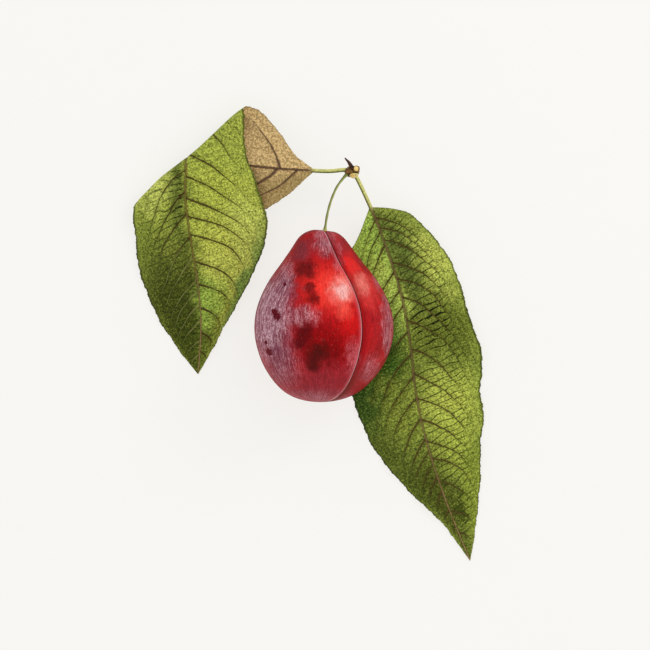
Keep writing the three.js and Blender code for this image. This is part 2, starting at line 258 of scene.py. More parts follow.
class Paint:
    """Builds one procedural material. Arguments are wires or plain values."""

    def __init__(self, name):
        self.material = bpy.data.materials.new(name)
        self.material.use_nodes = True
        self.tree = self.material.node_tree
        self.tree.nodes.clear()

    def node(self, kind, inputs, **settings):
        made = self.tree.nodes.new(kind)
        for key, value in settings.items():
            setattr(made, key, value)
        for key, value in inputs.items():
            if isinstance(value, Wire):
                self.tree.links.new(value.socket, made.inputs[key])
            else:
                made.inputs[key].default_value = value
        return made

    def wire(self, kind, inputs, output=0, **settings):
        return Wire(self, self.node(kind, inputs, **settings).outputs[output])

    def math(self, operation, *values):
        return self.wire("ShaderNodeMath", dict(enumerate(values)), operation=operation)

    def vector(self, operation, *values, output=0):
        return self.wire("ShaderNodeVectorMath", dict(enumerate(values)), output, operation=operation)

    def join(self, x, y, z):
        return self.wire("ShaderNodeCombineXYZ", {0: x, 1: y, 2: z})

    def split(self, vector):
        made = self.node("ShaderNodeSeparateXYZ", {0: vector})
        return [Wire(self, output) for output in made.outputs]

    def stored(self, name):
        """A vector stored at the mesh's points."""
        return self.wire("ShaderNodeAttribute", {}, "Vector", attribute_name=name)

    def fact(self, name):
        """The three numbers of a vector stored at the mesh's points."""
        return self.split(self.stored(name))

    def place(self):
        """The point in the object's own frame, in mm."""
        spot = self.wire("ShaderNodeTexCoord", {}, "Object")
        return self.vector("MULTIPLY", spot, (1 / MM,) * 3)

    def step(self, value, low, high, start=0.0, end=1.0):
        """Goes smoothly from start to end as value goes from low to high. Either may be the larger."""
        inputs = {"Value": value, "From Min": low, "From Max": high, "To Min": start, "To Max": end}
        return self.wire("ShaderNodeMapRange", inputs, interpolation_type="SMOOTHSTEP")

    def noise(self, vector, scale, detail=2.0, roughness=0.5, warp=0.0, output=0):
        look = {"Scale": scale, "Detail": detail, "Roughness": roughness, "Distortion": warp}
        return self.wire("ShaderNodeTexNoise", {"Vector": vector, **look}, output)

    def ragged(self, vector, scale, amount):
        """A place moved about by noise, by up to amount, so that outlines drawn there are uneven."""
        cloud = self.noise(vector, scale, 3.0, 0.6, output="Color")
        away = self.vector("SUBTRACT", cloud, (0.5, 0.5, 0.5))
        return self.vector("MULTIPLY_ADD", away, (RAGGED_GAIN * amount,) * 3, vector)

    def cells(self, vector, scale, feature="F1"):
        inputs = {"Vector": vector, "Scale": scale}
        return self.wire("ShaderNodeTexVoronoi", inputs, "Distance", feature=feature)

    def mix(self, below, over, amount, blend="MIX"):
        """One colour laid over another. Each is a wire, or plain and given as on a screen."""
        below, over = (tone(*colour) if isinstance(colour, tuple) else colour for colour in (below, over))
        inputs = {MIX_AMOUNT: amount, MIX_BELOW: below, MIX_OVER: over}
        made = self.node("ShaderNodeMix", inputs, data_type="RGBA", blend_type=blend)
        return Wire(self, made.outputs[MIX_RESULT])

    def shade(self, colour, amount):
        """A colour made lighter or darker."""
        return self.mix(colour, self.join(amount, amount, amount), 1.0, "MULTIPLY")

    def distance(self, point, centre, radii):
        """How far a point is from a centre, where 1 is the surface of the ellipsoid with those radii."""
        away = self.vector("SUBTRACT", point, centre)
        scaled = self.vector("MULTIPLY", away, tuple(1 / r for r in radii))
        return self.vector("LENGTH", scaled, output="Value")

    def finish(self, colour, roughness, shine, height=None, depth=0.1, **sockets):
        """The surface shader, with bump from a height, depth in mm, and other sockets set to plain values."""
        inputs = {"Base Color": colour, "Roughness": roughness, "Specular IOR Level": shine, **sockets}
        if height is not None:
            bump = {"Height": height, "Distance": depth * MM, "Strength": 1.0}
            inputs["Normal"] = self.wire("ShaderNodeBump", bump)
        shader = self.wire("ShaderNodeBsdfPrincipled", inputs)
        self.node("ShaderNodeOutputMaterial", {"Surface": shader})
        return self.material


# ---- the fruit

# The half-width of the ellipse that the fruit's outline touches, from blossom end, -1, to stalk end, 1.
fruit_fullness = smooth([
    (-1, 21), (-0.8, 18.8), (-0.5, 18.05), (-0.2, 17.6), (0.1, 16.6), (0.4, 14.7), (0.65, 12.5),
    (0.83, 12.1), (1, 14.5),
])

# Where the suture runs: degrees from straight up towards +X, from blossom end to stalk end.
suture_degrees = smooth([
    (-1, 39), (-0.9, 37), (-0.6, 35), (-0.2, 34.4), (0.1, 33.2), (0.35, 31), (0.6, 26), (0.8, 22.5), (1, 19),
])


def suture_inset(distance, share):
    """How far the skin near the suture stands in from a round section. The left lip stands a little proud."""
    fade = ease(1 - np.abs(share), 0, 0.1)
    groove = SUTURE_DEPTH * bell(distance - 0.1, SUTURE_WIDTH)
    left_lip = 0.38 * bell(distance + 1.25, 0.85)
    right_lip = 0.16 * bell(distance - 2.4, 1.6)
    return fade * (groove - left_lip - right_lip)


def fruit_points(share, angle):
    """Points of the skin, and the distance to the suture. share runs from blossom end, -1, to stalk, 1."""
    plain = np.sqrt(np.maximum(0, 1 - share**2)) * fruit_fullness(share)
    distance = plain * angle
    wave = 0.1 * np.sin(3 * angle + 2.2 * share) * (1 - share**2) + 0.07 * np.sin(5 * angle - 4 * share)
    r = np.maximum(0, plain - suture_inset(distance, share) + wave * np.minimum(1, plain / 6))
    turn = np.radians(suture_degrees(share)) + angle
    x = -FRUIT_BOW * share**2 + r * np.sin(turn)
    z = FRUIT_AXIS_Z + r * np.cos(turn)
    away = np.hypot(x - STALK_FOOT[0], z - STALK_FOOT[1])
    hollow = np.where(share > 0, STALK_HOLLOW_DEPTH * bell(away, STALK_HOLLOW_RADIUS), 0)
    y = FRUIT_MIDDLE_Y + share * FRUIT_LENGTH / 2 - hollow
    return np.stack([x, y, np.maximum(z, 0)], axis=-1), distance


def skin_above(x, y):
    """The point of the skin over a place in plan."""
    share = (y - FRUIT_MIDDLE_Y) * 2 / FRUIT_LENGTH
    r = math.sqrt(max(0, 1 - share**2)) * float(fruit_fullness(share))
    off = x + FRUIT_BOW * share**2
    return x, y, FRUIT_AXIS_Z + math.sqrt(max(0, r * r - off * off))


# Broad patches of colour, and a painted highlight, on the side that lies upwards: place in plan, radii,
# colour and strength.
SKIN_PATCHES_AND_HIGHLIGHT = [
    (-13, 3, 8, 17, (134, 38, 56), 0.85), (-14, 4, 4.2, 8, (184, 104, 116), 0.7),
    (-5.6, 19.5, 4, 4.6, (126, 46, 56), 0.85), (-9.8, 10.5, 2.4, 6, (124, 66, 86), 0.6),
    (-10.8, -7.5, 4.4, 8, (112, 40, 58), 0.75), (-0.5, 10, 7, 8.5, (232, 42, 34), 0.95),
    (6.3, 15, 3.4, 5.5, (226, 34, 30), 0.9), (10, 9, 4, 7, (214, 54, 50), 0.8),
    (6.2, 1.4, 4.5, 7.5, (214, 20, 20), 0.85), (0.4, -4.4, 9, 7.5, (144, 2, 4), 0.95),
    (1.5, -6.4, 4.5, 3.2, (108, 2, 4), 0.7), (10.8, -2.5, 3.5, 8.5, (176, 22, 26), 0.85),
    (-1, -14, 15, 7, (144, 42, 50), 0.8), (7.2, -7.5, 2.4, 6, (192, 70, 78), 0.6),
    (9.5, -11.5, 3.5, 6, (156, 44, 48), 0.6), (4.8, 20.5, 2.5, 3.6, (150, 28, 36), 0.75),
    # The four patches on this line and the next are a painted highlight with its glow, left of the suture and
    # on the right lobe.
    (3.2, 9.8, 6, 6.5, (242, 66, 54), 0.85), (4.4, 9.3, 3.8, 4.6, (246, 150, 140), 0.75),
    (4.7, 9.3, 2.0, 2.6, (252, 200, 196), 0.6), (9.3, 10.8, 2.3, 4.2, (236, 126, 114), 0.7),
    (5.0, 4.6, 2.8, 3.4, (242, 78, 64), 0.7),
]

# Bloom lies over the colour in streaky patches: place in plan, radii and strength.
BLOOM_PATCHES = [
    (-15, 3, 8, 14, 1.0), (-10, 12.5, 3.4, 7, 0.6), (0.2, 22, 3.2, 5.5, 0.6), (-6.2, 3.2, 5.6, 3, 0.6),
    (-11, -9, 6.5, 8, 0.34), (16.2, 1, 2.2, 13, 0.5), (-3, -18.5, 13, 4, 0.4), (13.2, 12.5, 1.6, 6, 0.55),
    (7.2, -7.5, 1.8, 6, 0.15), (3.6, 17, 1.4, 6, 0.25), (11.8, -10.5, 3, 5, 0.35),
]

# Dark blotches: place in plan, radius, colour.
BLOTCHES = [
    (-4.5, 14.6, 2.5, (98, 6, 10)), (-3.4, 9.8, 1.4, (104, 8, 10)), (-2.7, 7.2, 1.6, (110, 8, 10)),
    (-4.7, -1.0, 2.4, (88, 4, 8)), (-6.2, -3.8, 1.7, (84, 4, 10)), (-1.6, -6.2, 2.7, (70, 14, 8)),
    (-2.9, -9.0, 1.7, (76, 10, 10)),
]

# Small sharp scars in the bloom: place in plan, radius.
SCARS = [(-9.7, 10.8, 0.5), (-12.2, 3.9, 1.0), (-11.6, 3.0, 1.1), (-14.3, -3.5, 0.5), (-13.6, -5.9, 0.95)]

RIM_RADIUS = 15  # the strokes are drawn as if on a cylinder of this radius, so they run along the fruit


def patch_distance(paint, spot, px, py, rx, ry):
    """How far a spot is from a patch of the skin, where 1 is the patch's outline."""
    return paint.distance(spot, skin_above(px, py), (rx, ry, 1.5 * max(rx, ry)))


def strokes(paint, rim, along, scale, detail, roughness):
    """Noise drawn out along the fruit. along is its scale that way, as a share of its scale round it."""
    return paint.noise(paint.vector("MULTIPLY", rim, (1, along, 1)), scale, detail, roughness)


# The red skin's patches, with the painted highlight and its glow among them.
def red_skin_and_highlight(paint, ragged, cloud):
    colour = paint.mix((176, 18, 24), (148, 12, 22), paint.step(cloud, 0.4, 0.65))
    for *patch, shade, strength in SKIN_PATCHES_AND_HIGHLIGHT:
        far = patch_distance(paint, ragged, *patch)
        colour = paint.mix(colour, shade, paint.step(far, 1.15, 0.2, 0.0, strength))
    return colour


def bloom_cover(paint, ragged, cloud):
    """How thickly the bloom lies, from 0 to 1."""
    bloom = paint.step(cloud, 0.62, 0.8, 0.0, 0.3)
    for *patch, strength in BLOOM_PATCHES:
        far = patch_distance(paint, ragged, *patch)
        bloom = paint.math("MAXIMUM", bloom, paint.step(far, 1.2, 0.35, 0.0, strength))
    return bloom


def dark_marks(paint, colour, here, ragged, hair):
    """Soft blotches, and small scars with sharp, torn outlines."""
    torn = paint.ragged(here, 1.5, 0.75)
    for px, py, radius, shade in BLOTCHES:
        far = paint.distance(ragged, skin_above(px, py), (radius, radius, 2 * radius))
        colour = paint.mix(colour, shade, paint.step(far, 1.5, 0.4) * (0.7 + 0.3 * hair))
    for px, py, radius in SCARS:
        far = paint.distance(torn, skin_above(px, py), (radius, radius, 2 * radius))
        colour = paint.mix(colour, (92, 2, 18), paint.step(far, 1.1, 0.85, 0.0, 0.97))
    return colour


def suture_marks_light_and_shade(paint, colour, y, grain):
    """The pale lip on the suture's left, a painted highlight on the groove's left wall, painted shade in the
    groove and on its right, and the browner right side at the blossom end.
    """
    near, side = paint.fact("suture")[:2]
    left = paint.step(side, 0.2, -0.6)
    lower = paint.step(y, 13.0, -3.0)
    lip_wide = paint.step(near, 1.8, 0.6) * left
    colour = paint.mix(colour, (200, 96, 106), lip_wide * paint.step(y, 22.0, 2.0, 0.2, 0.62))
    # A painted highlight on the groove's left wall.
    lip_highlight = paint.step(near, 0.72, 0.5) * paint.step(near, 0.14, 0.28) * left
    colour = paint.mix(colour, (238, 196, 198), lip_highlight * (0.3 + 0.65 * lower) * (0.7 + 0.3 * grain))
    # Painted shade on the groove's right, and a darker painted shade in the groove itself.
    colour = paint.mix(colour, (148, 14, 20), paint.step(near, 2.0, 0.4) * (1 - left) * 0.55)
    colour = paint.mix(colour, (64, 6, 10), paint.step(near, 0.34, 0.1) * 0.85)
    brown_end = paint.step(y, -8.0, -15.0) * paint.step(near, 2.4, 0.4) * (1 - left)
    return paint.mix(colour, (108, 42, 30), brown_end * 0.8)


def fruit_ends(paint, colour, here):
    """Brown in the hollow at the stalk, and the small scar of the blossom."""
    stalk_end = FRUIT_MIDDLE_Y + FRUIT_LENGTH / 2 - 0.2
    foot = paint.distance(here, (STALK_FOOT[0], stalk_end, STALK_FOOT[1]), (STALK_HOLLOW_RADIUS,) * 3)
    colour = paint.mix(colour, (112, 44, 38), paint.step(foot, 1.0, 0.45, 0.0, 0.8))
    blossom_end = (-FRUIT_BOW, FRUIT_MIDDLE_Y - FRUIT_LENGTH / 2, FRUIT_AXIS_Z)
    scar = paint.distance(here, blossom_end, (0.8,) * 3)
    return paint.mix(colour, (96, 64, 44), paint.step(scar, 1.0, 0.5, 0.0, 0.9))


def shaded_flank_band(paint, colour, here, z, hair):
    """Painted shade: a deeper red band on the flanks, round the fruit's widest part, where its sides turn
    away.
    """
    level = z + 5 * (paint.noise(here, 0.35, 2.0, 0.6) - 0.5) + 0.8 * (hair - 0.5)
    flank_shade = paint.step(level, 21.2, 18.4) * paint.step(level, 8.0, 14.5)
    return paint.mix(colour, (128, 10, 24), flank_shade * 0.65)


def fruit_skin():
    paint = Paint("plum_skin")
    here = paint.place()
    y, z = paint.split(here)[1:]
    rim = paint.stored("rim")
    streak = paint.step(strokes(paint, rim, 0.14, 1.9, 3.0, 0.7), 0.34, 0.66)
    hair = paint.step(strokes(paint, rim, 0.2, 4.4, 2.0, 0.6), 0.32, 0.68)
    grain = paint.step(paint.noise(here, 3.6, 2.0, 0.7), 0.3, 0.7)
    cloud = paint.noise(here, 0.16, 3.0, 0.6)
    ragged = paint.ragged(here, 0.45, 1.7)

    colour = red_skin_and_highlight(paint, ragged, cloud)
    colour = paint.shade(colour, 0.52 + 0.26 * streak + 0.34 * hair + 0.34 * grain)

    bloom = bloom_cover(paint, ragged, cloud)
    kept = 0.14 + 0.3 * streak + 0.42 * hair + 0.4 * grain
    dusty = paint.mix((124, 82, 96), (222, 184, 194), paint.step(streak + hair + grain, 0.9, 2.6))
    colour = paint.mix(colour, dusty, paint.math("MINIMUM", bloom * kept, 0.92))

    colour = dark_marks(paint, colour, here, ragged, hair)
    dots = paint.step(paint.cells(here, 1.5), 0.22, 0.1) * paint.step(grain, 0.5, 0.9)
    colour = paint.mix(colour, (244, 176, 168), 0.24 * dots)
    colour = suture_marks_light_and_shade(paint, colour, y, grain)
    colour = fruit_ends(paint, colour, here)
    colour = shaded_flank_band(paint, colour, here, z, hair)

    roughness = 0.4 + 0.25 * paint.math("MINIMUM", bloom, 1.0) + 0.08 * grain
    height = 0.5 * hair + 0.5 * grain
    return paint.finish(colour, roughness, 0.06, height, 0.05)


def make_fruit():
    rows = (np.arange(FRUIT_ROWS) + FRUIT_END_GAP) / (FRUIT_ROWS - 1 + 2 * FRUIT_END_GAP)
    share = -np.cos(np.pi * rows)[:, None]
    turn = (2 * np.arange(FRUIT_COLUMNS) / FRUIT_COLUMNS - 1)[None, :]
    angle = np.pi * turn * (SUTURE_CROWDING + (1 - SUTURE_CROWDING) * turn**2)
    rings, distance = fruit_points(share, angle)
    side = np.clip(distance / 0.25, -1, 1)
    around = np.radians(suture_degrees(share)) + angle
    along = share * FRUIT_LENGTH / 2 + 0 * around
    facts = {
        "suture": np.stack([np.abs(distance), side, 0 * side], axis=-1),
        "rim": np.stack([RIM_RADIUS * np.sin(around), along, RIM_RADIUS * np.cos(around)], axis=-1),
    }
    return loft("plum", rings, fruit_skin(), facts)


# ---- the leaves


class Leaf:
    """A leaf's outline, lie and veins, in mm. Shares run from the blade's base, 0, to its tip, 1.

    a is the distance along the midrib from the foot of the stalk. t is the place across: 0 on the midrib,
    1 on the near margin and -1 on the far one.
    """

    def __init__(self, **facts):
        self.__dict__.update(facts)
        self.length, self.course = route(self.midrib)
        self.blade = self.length - self.stalk

    def share(self, a):
        return (a - self.stalk) / self.blade

    def width(self, a, t):
        share = np.clip(self.share(a), 0, 1)
        fuller = MARGIN_FULLNESS * ease(share, 0.02, 0.1) * (1 - ease(share, 0.95, 1))
        return np.where(t < 0, self.far(share), self.near(share)) + fuller

    def drop(self, lie, share, t):
        """How far the blade hangs below its midrib, a share t of the half-width from it."""
        share = np.clip(share, 0, 1)
        return np.where(t < 0, lie["far_drop"](share), lie["near_drop"](share)) * np.abs(t) ** DROP_POWER

    def plan(self, a, t):
        """Where a point of the blade lies before any fold."""
        centre = self.course(a)
        nearby = 0.4
        forward = self.course(np.minimum(a + nearby, self.length)) - self.course(np.maximum(a - nearby, 0))
        forward /= np.linalg.norm(forward, axis=-1, keepdims=True)
        across = t * self.width(a, t) + np.sign(t) * self.teeth(a, t)
        return centre[..., 0] - forward[..., 1] * across, centre[..., 1] + forward[..., 0] * across

    def surface(self, a, t):
        """The blade's middle surface before its veins raise it."""
        share = self.share(a)
        x, y = self.plan(a, t)
        wave = np.sin(2 * np.pi * self.ripple["count"] * share + self.ripple["phase"] + np.where(t < 0, 2, 0))
        calm = ease(share, 0, 0.2) * (1 - ease(share, 0.85, 1))
        z = self.lie["height"](share) - self.drop(self.lie, share, t)
        if self.fold:
            x, y, turn = self.fold_over(x, y)
            folded = self.fold["height"](share) - self.drop(self.fold, share, t)
            z = z + (folded - z) * (1 - np.cos(turn)) / 2
        return np.stack([x, y, z + self.ripple["height"] * np.abs(t) ** 3 * wave * calm], axis=-1)

    def flatness(self, a, t):
        """1 where the blade lies flat, and 0 on its fold."""
        x, y = self.plan(a, t)
        turn = self.fold_over(x, y)[2]
        return 1 - np.sin(turn) ** 2

    def teeth(self, a, t):
        """The fine forward teeth of the margin, and its slower unevenness."""
        here = a + 0.35 * np.sin(a * 1.7)
        tooth = TOOTH_HEIGHT * ((here / TOOTH_PITCH) % 1 - 0.5)
        slow = 0.1 * np.sin(a * 0.9 + 2 * np.sign(t)) + 0.07 * np.sin(a * 2.3)
        share = self.share(a)
        size = ease(np.abs(t), 0.93, 1) * ease(share, 0.0, 0.06) * (1 - ease(share, 0.93, 1))
        return (tooth + slow) * size

    def fold_over(self, x, y):
        """Where flat points lie when folded over the crease, and how far each has turned, up to pi."""
        fx, fy = self.fold["through"]
        inward = (math.sin(self.fold["angle"]), -math.cos(self.fold["angle"]))
        before = (x - fx) * inward[0] + (y - fy) * inward[1]
        reach = np.pi * FOLD_RADIUS / 2
        turn = np.clip((reach - before) / FOLD_RADIUS, 0, np.pi)
        beside = (y - fy) * inward[0] - (x - fx) * inward[1]
        rolled = reach - (FOLD_RADIUS + self.fold["swell"](beside)) * np.sin(turn)
        after = np.where(before > reach, before, np.where(before < -reach, -before, rolled))
        return x + inward[0] * (after - before), y + inward[1] * (after - before), turn

    def vein_number(self, a, t):
        """Counts side veins along the blade: whole numbers lie on a vein. Also the spacing there, in mm."""
        near_number, near_gap = self.count_veins(a, t, self.veins["near"], self.veins["near_bend"])
        far_number, far_gap = self.count_veins(a, t, self.veins["far"], self.veins["far_bend"])
        return np.where(t < 0, far_number, near_number), np.where(t < 0, far_gap, near_gap)

    def count_veins(self, a, t, feet, bend):
        """The same for one side. Its veins leave the midrib at feet, and bend says how they sweep forward."""
        feet = np.array(feet, float)
        last = len(feet) - 1
        reach = np.abs(t)
        sweep = self.width(a, t) * (bend[0] * reach + bend[1] * reach**2 + bend[2] * reach**4)
        wobble = 0.35 * np.sin(0.42 * a + 0.5 * t) + 0.25 * np.sin(1.1 * a + 3 * t) * reach
        foot = a - self.stalk - sweep + wobble
        number = np.interp(foot, feet, np.arange(len(feet)))
        before_first = (foot - feet[0]) / 5
        after_last = last + (foot - feet[-1]) / 4
        number = np.where(foot < feet[0], np.maximum(before_first, -0.5), number)
        number = np.where(foot > feet[-1], np.minimum(after_last, last + 0.5), number)
        return number, 0.75 * np.interp(foot, (feet[1:] + feet[:-1]) / 2, np.diff(feet))


TOOTH_PITCH = 0.95
TOOTH_HEIGHT = 0.22

# A leaf's veins are given by where they leave the midrib on each side, in mm from the blade's base.
OPEN_LEAF = Leaf(
    midrib=[
        (7.6, 38.3), (8.5, 36.9), (11.7, 30), (14.8, 22.4), (19.15, 9.05), (21.6, -4), (22.9, -15.5),
        (25.4, -27.5), (30.2, -42.4), (36.6, -58.3),
    ],
    stalk=9.26,
    near=smooth([
        (0, 0.5), (0.02, 4.2), (0.05, 8), (0.1, 10.7), (0.2, 14), (0.35, 15.7), (0.42, 17.2), (0.48, 17),
        (0.56, 15.6), (0.62, 15.5), (0.7, 12.8), (0.8, 9.8), (0.9, 5.4), (0.96, 2.2), (1, 0.06),
    ]),
    far=smooth([
        (0, 0.5), (0.05, 4.8), (0.1, 8.8), (0.2, 13), (0.3, 14.6), (0.45, 15.9), (0.5, 15.8),
        (0.55, 14.9), (0.63, 13.2), (0.72, 9.7), (0.8, 6.2), (0.86, 3.3), (0.92, 1.5), (1, 0.06),
    ]),
    lie={
        "height": smooth([
            (-0.09, 8.5), (0, 6.7), (0.12, 4.2), (0.25, 2.9), (0.45, 2.9), (0.6, 3.6), (0.78, 3.2),
            (0.9, 1.7), (1, 0.3),
        ]),
        "near_drop": smooth([
            (0, 0), (0.1, 1.6), (0.3, 1.2), (0.42, 0.6), (0.52, 2.2), (0.7, 2.2), (0.85, 1.9), (1, 0),
        ]),
        "far_drop": smooth([(0, 0), (0.1, 2.1), (0.25, 3.1), (0.45, 3.1), (0.64, 3.3), (0.8, 2.2), (1, 0)]),
    },
    ripple={"height": 0.35, "count": 7, "phase": 0.6},
    fold=None,
    underside_up=False,
    veins={
        "near": [2.6, 5.5, 9, 14.4, 18.7, 24, 29.2, 36.9, 43, 49.1, 55, 60, 64.6, 71, 78.6, 85],
        "far": [
            2.9, 6.5, 10.1, 16.6, 22.1, 26, 32, 38.4, 43.7, 49, 54.8, 59.4, 62.5, 66.4, 69.8, 73.2, 78, 83,
        ],
        "near_bend": (0.5, 0.35, 1.0),
        "far_bend": (0.75, 0.5, 0.5),
    },
)

FOLDED_LEAF = Leaf(
    midrib=[
        (6.1, 39.45), (4.9, 39.45), (1.4, 39.15), (-2.8, 39.3), (-15.1, 40.2), (-26, 42), (-37, 43.4),
        (-46.2, 44.8), (-55.1, 47.5), (-68.4, 51.7), (-77.5, 53.5), (-87.9, 54.4),
    ],
    stalk=8.92,
    near=smooth([
        (0, 0.5), (0.05, 4.8), (0.1, 8.6), (0.15, 11.4), (0.22, 13.7), (0.32, 14.6), (0.42, 13.6),
        (0.455, 12.9), (0.48, 12.4), (0.5, 12.8), (0.52, 13.2), (0.56, 13.4), (0.62, 13.7), (0.66, 13.9),
        (0.75, 12.7), (0.85, 9.9), (0.93, 5.4), (1, 0.06),
    ]),
    far=smooth([
        (0, 0.5), (0.05, 3.4), (0.1, 8.3), (0.15, 12.2), (0.2, 14), (0.28, 14), (0.36, 14.8),
        (0.44, 17.5), (0.52, 18.9), (0.6, 19.3), (0.68, 16.8), (0.76, 11.9), (0.84, 6.8), (0.92, 3.1),
        (1, 0.06),
    ]),
    lie={
        "height": smooth([(-0.09, 8.9), (0, 7.9), (0.12, 5.8), (0.25, 4), (0.4, 3.2), (0.6, 2.8)]),
        "near_drop": smooth([(0, 0), (0.1, 0.9), (0.3, 1.4), (0.6, 1.4)]),
        "far_drop": smooth([(0, 0), (0.1, 0.5), (0.3, 1.2), (0.6, 1.2)]),
    },
    ripple={"height": 0.22, "count": 6, "phase": 2.2},
    fold={
        "through": (-33.9, 43.5),  # where the crease crosses the midrib
        "angle": math.radians(40.5),  # of the crease, from +X
        "swell": smooth([
            (-18, 0.1), (-14, 0.45), (-9, 0.8), (-3, 0.5), (2, 0.3), (8, 0.55), (14, 0.85), (18, 0.7),
            (21, 0.3),
        ]),
        "height": smooth([
            (0.1, 6.4), (0.3, 6.8), (0.45, 8.2), (0.6, 8.2), (0.75, 5.8), (0.9, 2.2), (1, 0.3),
        ]),
        "near_drop": smooth([(0.2, 2.6), (0.35, 3), (0.48, 4.4), (0.6, 7), (0.75, 5.2), (0.9, 1.8), (1, 0)]),
        "far_drop": smooth([(0.1, 0.4), (0.35, 0.7), (0.5, 1.5), (0.62, 3), (0.75, 3.4), (0.9, 1.5), (1, 0)]),
    },
    underside_up=True,
    veins={
        "near": [3.6, 9.0, 16, 22.5, 29, 35.4, 41.2, 46, 52.6, 57.3, 62.8, 65.8, 69.5, 73.2, 78, 82],
        "far": [8.2, 16.4, 23.4, 31, 37.2, 42.6, 46.7, 51.8, 58.5, 64, 70.5, 76, 81],
        "near_bend": (0.75, 0.6, 0.5),
        "far_bend": (0.38, 0.2, 0.5),
    },
)


def unit(vectors):
    return vectors / np.maximum(np.linalg.norm(vectors, axis=-1, keepdims=True), 1e-9)


def normals(grid):
    return unit(np.cross(np.gradient(grid, axis=0), np.gradient(grid, axis=1)))


def on_table(z):
    """Keeps the blade's middle surface clear of the floor, with a soft start."""
    least, soft = BLADE_THICKNESS / 2 + 0.02, 0.35
    over = z - least
    return np.where(over > soft, z, least + np.where(over < -soft, 0, (over + soft) ** 2 / (4 * soft)))


def blade_lift(leaf, a, t, across, from_vein):
    """How far the blade is raised: pillowed between its veins, and a little cockled."""
    share = leaf.share(a)
    grown = ease(share, 0.0, 0.08) * (1 - ease(share, 0.9, 1)) * (1 - ease(np.abs(t), 0.8, 1))
    pillow = (1 - bell(from_vein, 1.3)) * (1 - bell(across, 1.6))
    cockle = 0.5 * np.sin(0.9 * a + 1.3 * across) * np.sin(0.7 * across - 0.4 * a)
    lift = grown * (0.46 * pillow + 0.1 * cockle - 0.3)
    if leaf.fold:
        lift = lift * leaf.flatness(a, t)
    return -lift if leaf.underside_up else lift


def blade_faces(leaf, a, t, across, from_vein):
    """How far the upper and the under face stand from the middle surface. The stalk runs on as the midrib."""
    share = leaf.share(a)
    reach = np.abs(t)
    on_blade = ease(share, -0.01, 0.05)
    rib_radius = LEAF_STALK_RADIUS - 0.16 * ease(share, -0.1, 0) - 0.26 * np.clip(share, 0, 1)
    rib = np.sqrt(np.maximum(0, rib_radius**2 - across**2))
    sheet = np.maximum(0.02, BLADE_THICKNESS / 2 * on_blade) * (1 - 0.6 * ease(reach, 0.9, 1))
    side_rib = 0.16 * bell(from_vein, 0.26) * (1 - ease(reach, 0.55, 0.9)) * on_blade
    upper = np.maximum(sheet, rib * (1 - on_blade)) - 0.08 * bell(across, 0.45) * on_blade
    under = np.maximum(sheet + side_rib, rib)
    return upper, under


def over_grid(grid, *values):
    """A vector at each point of a grid, from arrays or plain numbers."""
    return np.stack([np.broadcast_to(value, grid.shape[:2]) for value in values], axis=-1)


def make_leaf(name, leaf, material):
    stalk = np.linspace(0, leaf.stalk, LEAF_STALK_ROWS, endpoint=False)
    blade = leaf.stalk + leaf.blade * np.linspace(0, 1, LEAF_ROWS) ** ROW_POWER
    a = np.concatenate([stalk, blade])[:, None]
    steps = np.arange(-LEAF_COLUMNS, LEAF_COLUMNS + 1) / LEAF_COLUMNS
    t = (np.sign(steps) * np.abs(steps) ** COLUMN_POWER)[None, :]
    across = t * leaf.width(a, t)
    number, gap = leaf.vein_number(a, t)
    from_vein = np.abs(number - np.round(number)) * gap

    middle = leaf.surface(a, t)
    middle = middle + normals(middle) * blade_lift(leaf, a, t, across, from_vein)[..., None]
    middle[..., 2] = on_table(middle[..., 2])
    facing = normals(middle)
    upper, under = blade_faces(leaf, a, t, across, from_vein)
    above, below = (under, upper) if leaf.underside_up else (upper, under)
    rings = joined(middle + facing * above[..., None], middle - facing * below[..., None])
    rings[..., 2] = np.maximum(rings[..., 2], 0)

    place = over_grid(middle, a - leaf.stalk, across, number)
    top_is_upper = 0.0 if leaf.underside_up else 1.0
    top, bottom = (over_grid(middle, t, gap, upper_side) for upper_side in (top_is_upper, 1 - top_is_upper))
    return loft(name, rings, material, {"blade": joined(place, place), "where": joined(top, bottom)})


# Both tables below hold the leaf's own colour together with painted light and painted shade, where the blade
# is lit or turned away.
# Patches of the upper side: share along the blade, place across it (1 is the near margin and -1 the far one),
# radii in the same terms, colour and strength.
OPEN_COLOUR_AND_SHADING_PATCHES = [
    (0.14, 0.2, 0.15, 0.34, (84, 98, 40), 0.8), (0.18, 0.75, 0.12, 0.36, (176, 186, 84), 0.9),
    (0.05, 0.6, 0.07, 0.5, (120, 134, 54), 0.6), (0.36, 0.55, 0.09, 0.6, (98, 108, 36), 0.85),
    (0.57, 0.5, 0.11, 0.55, (168, 178, 74), 0.95), (0.69, 0.42, 0.1, 0.4, (160, 172, 68), 0.8),
    (0.84, -0.2, 0.19, 0.7, (72, 78, 22), 0.9), (0.86, 0.45, 0.07, 0.34, (66, 76, 20), 0.9),
    (0.84, 0.8, 0.15, 0.36, (130, 142, 50), 0.75), (1.0, 0.0, 0.07, 1.2, (84, 92, 32), 0.8),
    (0.1, -0.6, 0.19, 0.64, (164, 198, 84), 0.95), (0.25, -0.24, 0.13, 0.28, (186, 210, 94), 0.95),
    (0.33, -0.6, 0.13, 0.5, (54, 96, 24), 0.95), (0.43, -0.6, 0.11, 0.6, (56, 90, 26), 0.85),
    (0.56, -0.35, 0.1, 0.4, (122, 134, 50), 0.7), (0.52, -0.95, 0.13, 0.35, (46, 76, 24), 0.9),
    (0.72, -0.85, 0.15, 0.45, (72, 84, 26), 0.8),
]

